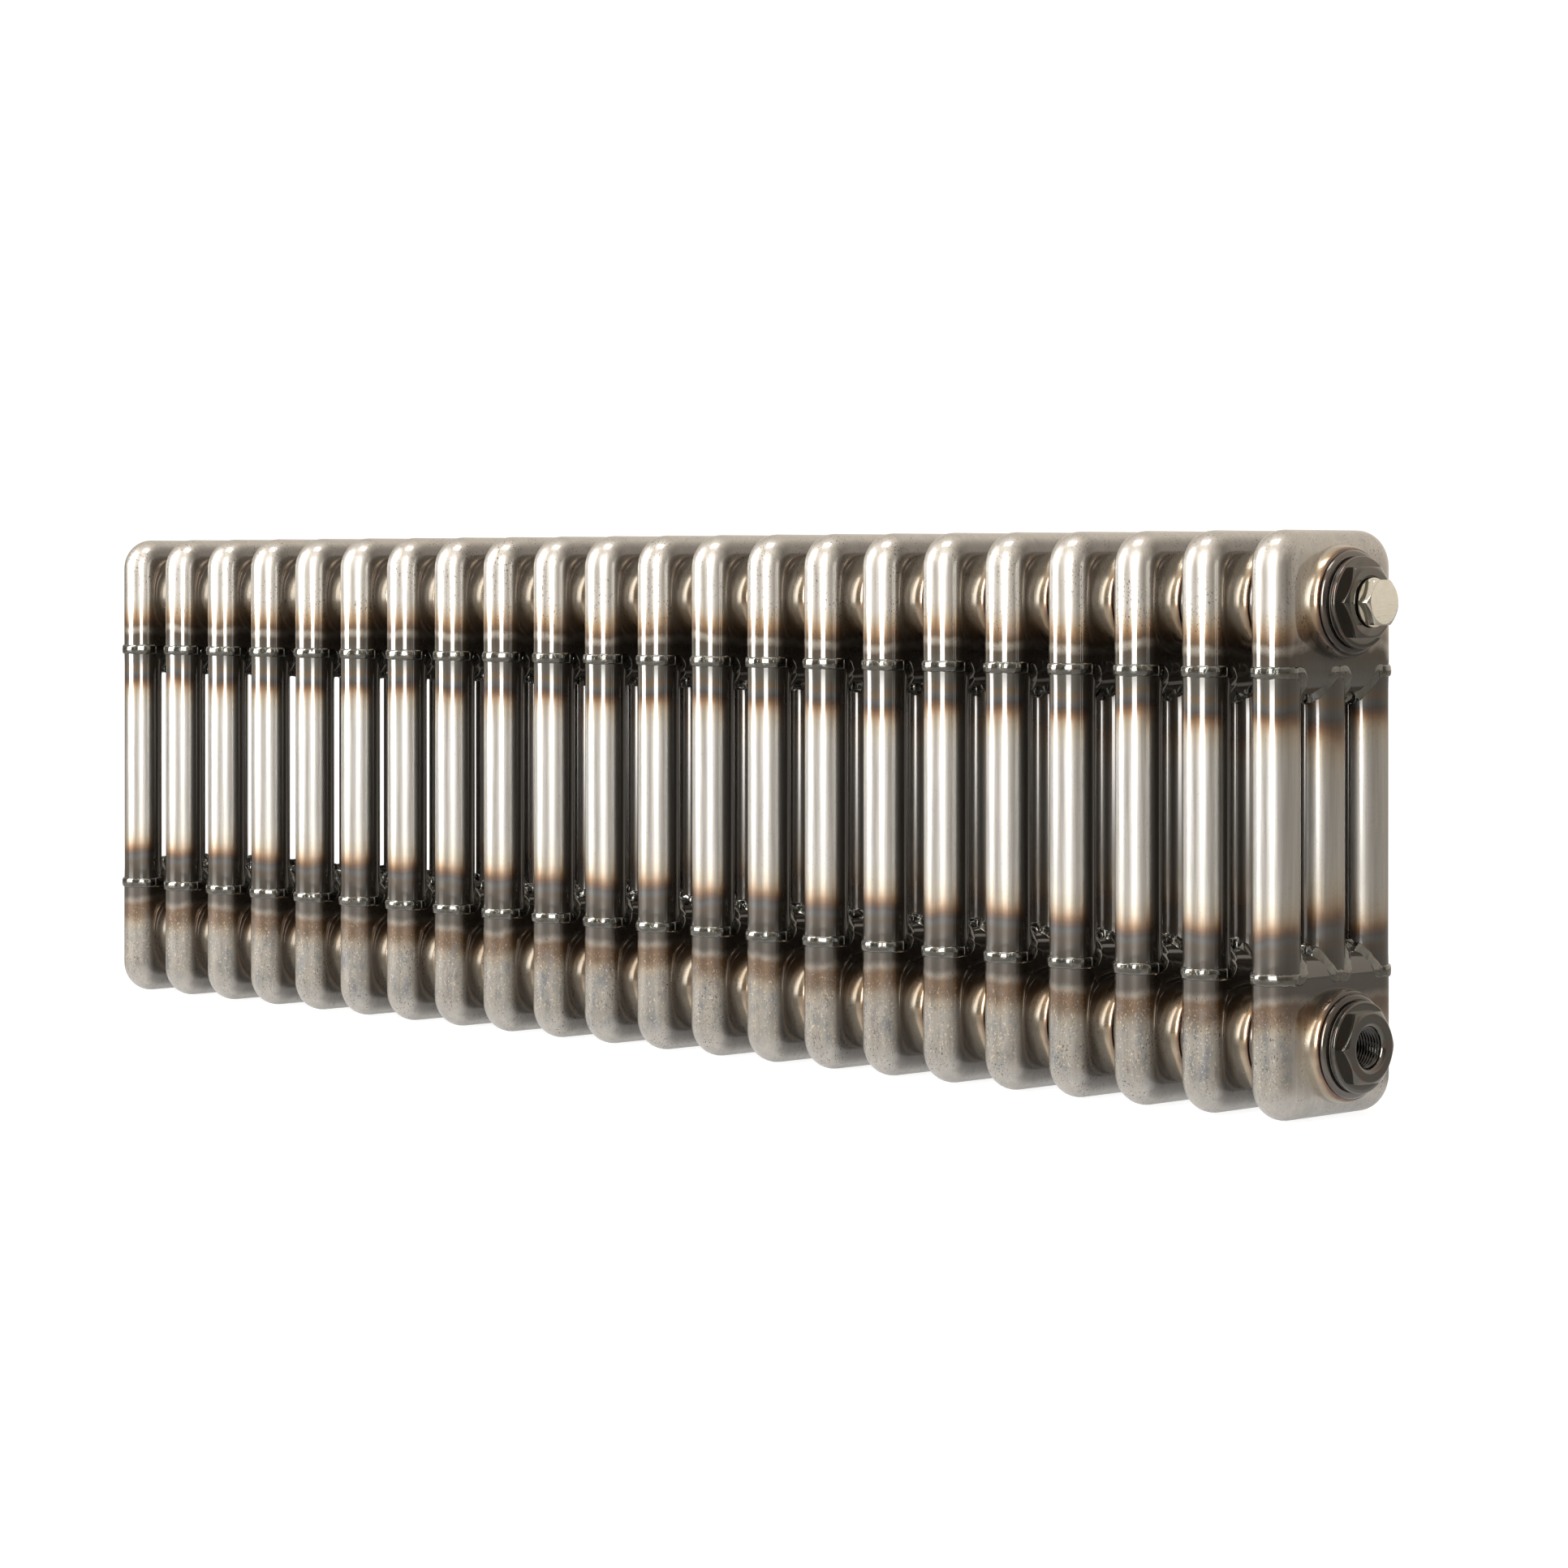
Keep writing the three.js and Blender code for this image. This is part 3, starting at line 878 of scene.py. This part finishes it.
def hub_steel():
    """The hub: a straw-coloured disc, browner towards its ring and near the welds, and a dark ring."""
    shader = Shader("hub_steel", **LACQUERED, Coat_IOR=1.8)
    uneven = shader.noise(8 * MM, detail=3, shift=5)
    streak = shader.noise(1.2 * MM, detail=3, stretch=(6, 1, 1), shift=6, rough=0.6)
    wave = shader.noise(6 * MM, detail=2, shift=8)
    away = shader.waver(from_middle(shader), uneven, 0.05)
    mm = MM / PITCH
    colour = shader.ramp(away, [
        (12.0 * mm, (0.50, 0.46, 0.39)),
        (15.5 * mm, (0.53, 0.46, 0.36)),
        (18.3 * mm, (0.46, 0.36, 0.24)),
        (19.6 * mm, (0.24, 0.13, 0.065)),
        (20.4 * mm, (0.09, 0.065, 0.050)),
        (22.8 * mm, (0.12, 0.105, 0.090)),
    ])
    scorch = shader.ramp(shader.fit(heat_place(shader, 1.5), 0, 40), [
        (0.20, (0.16, 0.14, 0.12)),
        (0.38, (0.30, 0.22, 0.15)),
        (0.55, (0.80, 0.70, 0.58)),
        (0.75, (1.0, 1.0, 1.0)),
    ])
    colour = shader.mix(1.0, colour, scorch, "MULTIPLY")
    shader.set(Base_Color=colour, Roughness=shader.plus(0.18, streak, 0.14))
    shader.bump(shader.math("ADD", streak, wave), 0.02 * MM, 0.6)
    return shader.material


def from_hub_axis(shader):
    level = shader.size_of(shader.math("SUBTRACT", shader.z, HEIGHT / 2))
    level = shader.math("SUBTRACT", level, HUB_HIGH - HEIGHT / 2)
    squares = shader.math("ADD", shader.product(level, level), shader.product(shader.y, shader.y))
    return shader.math("SQRT", squares)


def bush_metal():
    """Black nickel, with faint pink and green where the lacquer is thick, and painted shade that darkens
    its socket to near black.
    """
    shader = Shader("bush_metal", **LACQUERED, Coat_IOR=1.7)
    patch = shader.noise(9 * MM, detail=3, shift=13)
    streak = shader.noise(1 * MM, detail=3, stretch=(5, 1, 1), shift=15, rough=0.6)
    # where the painted shade inside the socket goes
    socket = shader.smooth(from_hub_axis(shader), SOCKET_R + 0.3 * MM, SOCKET_R - 0.5 * MM)
    colour = shader.ramp(patch, [
        (0.30, (0.070, 0.060, 0.050)),
        (0.45, (0.104, 0.090, 0.075)),
        (0.56, (0.088, 0.094, 0.078)),
        (0.66, (0.125, 0.076, 0.060)),
    ])
    # painted shade: the colour inside the socket is taken to near black
    colour = shader.mix(socket, colour, (0.020, 0.018, 0.015))
    rough = shader.plus(shader.plus(0.05, streak, 0.10), socket, 0.3)
    shader.set(Base_Color=colour, Roughness=rough)
    shader.bump(streak, 0.03 * MM, 0.5)
    return shader.material


def plug_chrome():
    """Bright, slightly warm plating with a faint haze."""
    shader = Shader("plug_chrome", Metallic=1.0, Coat_Weight=0.3, Coat_Roughness=0.03, Coat_IOR=1.5)
    haze = shader.noise(5 * MM, detail=3, shift=17)
    brushed = shader.noise(0.5 * MM, detail=2, stretch=(1, 12, 1), shift=19)
    colour = shader.ramp(haze, [
        (0.35, (0.82, 0.79, 0.69)),
        (0.65, (0.90, 0.88, 0.79)),
    ])
    shader.set(Base_Color=colour, Roughness=shader.plus(0.03, haze, 0.08))
    shader.bump(brushed, 0.01 * MM, 0.5)
    return shader.material


def screw_brass():
    """Brass, tarnished brown in places."""
    shader = Shader("screw_brass", Metallic=1.0, Coat_Weight=0.2, Coat_Roughness=0.1, Coat_IOR=1.5)
    tarnish = shader.noise(3 * MM, detail=4, shift=23)
    turning = shader.noise(0.6 * MM, detail=2, stretch=(8, 1, 1), shift=25)
    colour = shader.ramp(tarnish, [
        (0.35, (0.66, 0.46, 0.17)),
        (0.60, (0.55, 0.36, 0.12)),
        (0.75, (0.30, 0.18, 0.07)),
    ])
    shader.set(Base_Color=colour, Roughness=shader.plus(0.14, tarnish, 0.3))
    shader.bump(turning, 0.03 * MM, 0.5)
    return shader.material


def seal_rubber():
    """Dark, slightly glossy rubber with a paler bloom."""
    shader = Shader("seal_rubber", Metallic=0.0)
    grain = shader.noise(0.8 * MM, detail=3, shift=27)
    bloom = shader.noise(6 * MM, detail=3, shift=29)
    colour = shader.ramp(bloom, [
        (0.35, (0.045, 0.038, 0.032)),
        (0.70, (0.085, 0.074, 0.062)),
    ])
    shader.set(Base_Color=colour, Roughness=shader.plus(0.22, grain, 0.2))
    shader.bump(grain, 0.05 * MM, 0.7)
    return shader.material


# ---------------------------------------------------------------- the radiator
def section_x(name):
    low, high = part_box(name)
    return (low.x + high.x) / 2


def build_sections():
    # the painted shade depths say how far painted shade darkens the hidden metal of each
    header_steel = heated_steel("header_steel", mottle=1.0, header=True, painted_shade_depth=0.7)
    tube_steel = heated_steel("tube_steel", mottle=0.15, header=False, painted_shade_depth=0.88)
    bead_steel = weld_steel()
    disc_steel = hub_steel()
    for number, node in enumerate(SECTIONS, 1):
        x = section_x(node)
        at = (x, 0, 0)
        tubes = Skin()
        for y in (-TUBE_SPACING, 0, TUBE_SPACING):
            tube(tubes, y)
        beads = join(weld_beads(number, 0), weld_beads(number, 1).moved(upside_down))
        tag = f"_{number:02d}"
        pieces = [
            header().piece("top_header" + tag, header_steel, at=at),
            header().moved(upside_down).piece("bottom_header" + tag, header_steel, at=at),
            tubes.piece("tubes" + tag, tube_steel, at=at),
            beads.piece("weld_beads" + tag, bead_steel, at=at, sharp=80),
            hub().piece("top_hub" + tag, disc_steel, at=(x, 0, HUB_HIGH)),
            hub().piece("bottom_hub" + tag, disc_steel, at=(x, 0, HEIGHT - HUB_HIGH)),
        ]
        for piece in pieces:
            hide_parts(node)


def fit_at_end(skin, name, material, node, side, z, body="radiator"):
    """Puts a fitting, made for the right end, on the hub at height z of the end on that side."""
    turned = skin.moved(lambda p: p * [side, side, 1])
    piece = turned.piece(name, material, body, at=(side * ROW_FACE, 0, z))
    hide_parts(node)


def build_bushes(rubber):
    nickel = bush_metal()
    for end, side in (("left", -1), ("right", 1)):
        for level, z in (("bottom", HEIGHT - HUB_HIGH), ("top", HUB_HIGH)):
            place = f"{level}_{end}"
            made = bush(threaded=level == "bottom")
            fit_at_end(made, "reducing_bush_" + place, nickel, "bush_" + place, side, z)
            seal = bush_seal()
            fit_at_end(seal, "fibre_seal_" + place, rubber, "bush_seal_" + place, side, z)


def build_plugs(rubber):
    chrome = plug_chrome()
    for side, node, plug in ((1, "blanking_plug", blanking_plug()), (-1, "vent_plug", vent_plug())):
        seal_node = node + "_seal"
        fit_at_end(plug, "hexagon_" + node, chrome, node, side, HUB_HIGH)
        fit_at_end(plug_seal(), "fibre_" + seal_node, rubber, seal_node, side, HUB_HIGH)


def build_bleed_screw():
    node = "bleed_screw"
    fit_at_end(bleed_screw(), "square_" + node, screw_brass(), node, -1, HUB_HIGH, body=node)


# ---------------------------------------------------------------- the studio
FLOOR_REACH = 12.0
FLOOR_DROP = 1 * MM
FLOOR_LIFT = 0.86  # how far the floor is lifted for the camera
NEAR_LIFT = 0.38  # how far the floor under the radiator is lifted for the metal
NEAR_FROM, NEAR_TO = 0.02, 0.12  # the near lift fades between these distances from the row's outline
ROOM_COLOUR = (0.80, 0.725, 0.635, 1)
ROOM_FRONT = 0.25
ROOM_BACK = 0.95
BACKDROP = 1.1
SOFTBOX_WIDTH = 0.7
SOFTBOX_HEIGHT = 1.8
SOFTBOX_RADIANCE = 9.0
SOFTBOX_COLOUR = (1.0, 0.985, 0.965)
GLOW_LOW = 0.04  # the softboxes are this bright at floor level, and full from GLOW_FULL up
GLOW_FULL = 0.2
# The camera was solved from the edges of the row in the photo
CAMERA_AT = (1.8578, -1.7356, 0.277)
CAMERA_TURN = 45.52
CAMERA_LENS = 98.47
CAMERA_SHIFT = -0.1334


def beyond(shader, coordinate, reach):
    """How far a place is outside reach on one axis, and 0 inside."""
    past = shader.math("SUBTRACT", shader.size_of(coordinate), reach)
    return shader.math("MAXIMUM", past, 0.0)


def floor_material():
    """Pale, lifted for the camera so that it stays as white as the backdrop, and lifted close to the
    radiator for the metal, whose lower edges would otherwise see only their own shadow."""
    shader = Shader("pale_floor", Metallic=0.0, Roughness=0.7, Specular_IOR_Level=0.1)
    pale = shader.ramp(shader.noise(0.25), [
        (0.3, (0.33, 0.325, 0.32)),
        (0.7, (0.35, 0.345, 0.34)),
    ])
    away = shader.math("MAXIMUM", beyond(shader, shader.x, ROW_FACE), beyond(shader, shader.y, DEPTH / 2))
    near = shader.smooth(away, NEAR_FROM, NEAR_TO, NEAR_LIFT, 0.0)
    seen = shader.node("ShaderNodeLightPath").outputs["Is Camera Ray"]
    unseen = shader.product(shader.math("SUBTRACT", 1.0, seen), near)
    lift = shader.plus(unseen, seen, FLOOR_LIFT)
    shader.set(Base_Color=pale, Emission_Color=(1, 1, 1, 1), Emission_Strength=lift)
    return shader.material


def build_floor():
    skin = Skin()
    side = np.linspace(-FLOOR_REACH, FLOOR_REACH, 5)
    skin.grid(stack(side[:, None], side[None, :], 0.0 * side[:, None]))
    mesh = bpy.data.meshes.new("floor")
    mesh.from_pydata([tuple(p) for p in skin.points], [], skin.faces)
    mesh.materials.append(floor_material())
    floor = bpy.data.objects.new("floor", mesh)
    bpy.context.scene.collection.objects.link(floor)
    floor.location.z = -FLOOR_DROP


def build_world():
    """White to the camera. Everything else sees a room, dark in front and paler above and behind."""
    world = bpy.data.worlds.new("studio")
    bpy.context.scene.world = world
    world.use_nodes = True
    tree = world.node_tree
    tree.nodes.clear()

    def node(kind, *inputs, **settings):
        made = tree.nodes.new(kind)
        for name, value in settings.items():
            setattr(made, name, value)
        for socket, value in zip(made.inputs, inputs):
            if isinstance(value, bpy.types.NodeSocket):
                tree.links.new(value, socket)
            elif value is not None:
                socket.default_value = value
        return made

    def rising(way, start, end):
        limits = (start, end, 0.0, 1.0)
        return node("ShaderNodeMapRange", way, *limits, interpolation_type="SMOOTHSTEP").outputs[0]

    way = node("ShaderNodeSeparateXYZ", node("ShaderNodeTexCoord").outputs["Generated"])
    toward_back = rising(way.outputs[1], 0.0, 0.75)
    upward = rising(way.outputs[2], 0.05, 0.9)
    pale = node("ShaderNodeMath", toward_back, upward, operation="MAXIMUM")
    strength = node("ShaderNodeMapRange", pale.outputs[0], 0.0, 1.0, ROOM_FRONT, ROOM_BACK)
    room = node("ShaderNodeBackground", ROOM_COLOUR, strength.outputs[0])
    white = node("ShaderNodeBackground", (1, 1, 1, 1), BACKDROP)
    seen = node("ShaderNodeLightPath").outputs["Is Camera Ray"]
    either = node("ShaderNodeMixShader", seen, room.outputs[0], white.outputs[0])
    node("ShaderNodeOutputWorld", either.outputs[0])


def fade_to_floor(tree):
    """Dims a softbox's lower edge, by the height of each place on it."""
    place = tree.nodes.new("ShaderNodeNewGeometry")
    height_of = tree.nodes.new("ShaderNodeSeparateXYZ")
    fade = tree.nodes.new("ShaderNodeMapRange")
    fade.interpolation_type = "SMOOTHSTEP"
    limits = {"From Min": 0.0, "From Max": GLOW_FULL, "To Min": GLOW_LOW, "To Max": 1.0}
    for socket, value in limits.items():
        fade.inputs[socket].default_value = value
    tree.links.new(place.outputs["Position"], height_of.inputs[0])
    tree.links.new(height_of.outputs["Z"], fade.inputs["Value"])
    emission = next(n for n in tree.nodes if n.type == "EMISSION")
    tree.links.new(fade.outputs[0], emission.inputs["Strength"])


def add_softbox(name, at, aim, width, height, radiance):
    light = bpy.data.lights.new(name, "AREA")
    light.shape = "RECTANGLE"
    light.size = width
    light.size_y = height
    light.energy = radiance * math.pi * width * height
    light.color = SOFTBOX_COLOUR
    light.use_nodes = True
    fade_to_floor(light.node_tree)
    box = bpy.data.objects.new(name, light)
    bpy.context.scene.collection.objects.link(box)
    box.location = at
    box.rotation_mode = "QUATERNION"
    box.rotation_quaternion = (Vector(aim) - Vector(at)).to_track_quat("-Z", "Y")
    box.visible_camera = False


def build_lights():
    tall = (SOFTBOX_WIDTH, SOFTBOX_HEIGHT, SOFTBOX_RADIANCE)
    add_softbox("left_softbox", (-0.97, -1.06, 0.9), (0.0, -0.05, 0.9), *tall)
    add_softbox("right_softbox", (0.99, -1.60, 0.9), (0.3, -0.05, 0.9), *tall)
    add_softbox("top_softbox", (0.2, -0.5, 2.6), (0.0, 0.0, 0.0), 1.2, 0.8, 4.0)


def build_camera():
    data = bpy.data.cameras.new("camera")
    data.sensor_width = 36
    data.lens = CAMERA_LENS
    data.shift_y = CAMERA_SHIFT
    data.clip_start = 0.05
    camera = bpy.data.objects.new("camera", data)
    camera.location = CAMERA_AT
    camera.rotation_euler = (math.radians(90), 0, math.radians(CAMERA_TURN))
    bpy.context.scene.collection.objects.link(camera)
    bpy.context.scene.camera = camera


build_sections()
seal_material = seal_rubber()
build_bushes(seal_material)
build_plugs(seal_material)
build_bleed_screw()
build_floor()
build_world()
build_lights()
build_camera()
bpy.context.scene.view_settings.view_transform = "Standard"
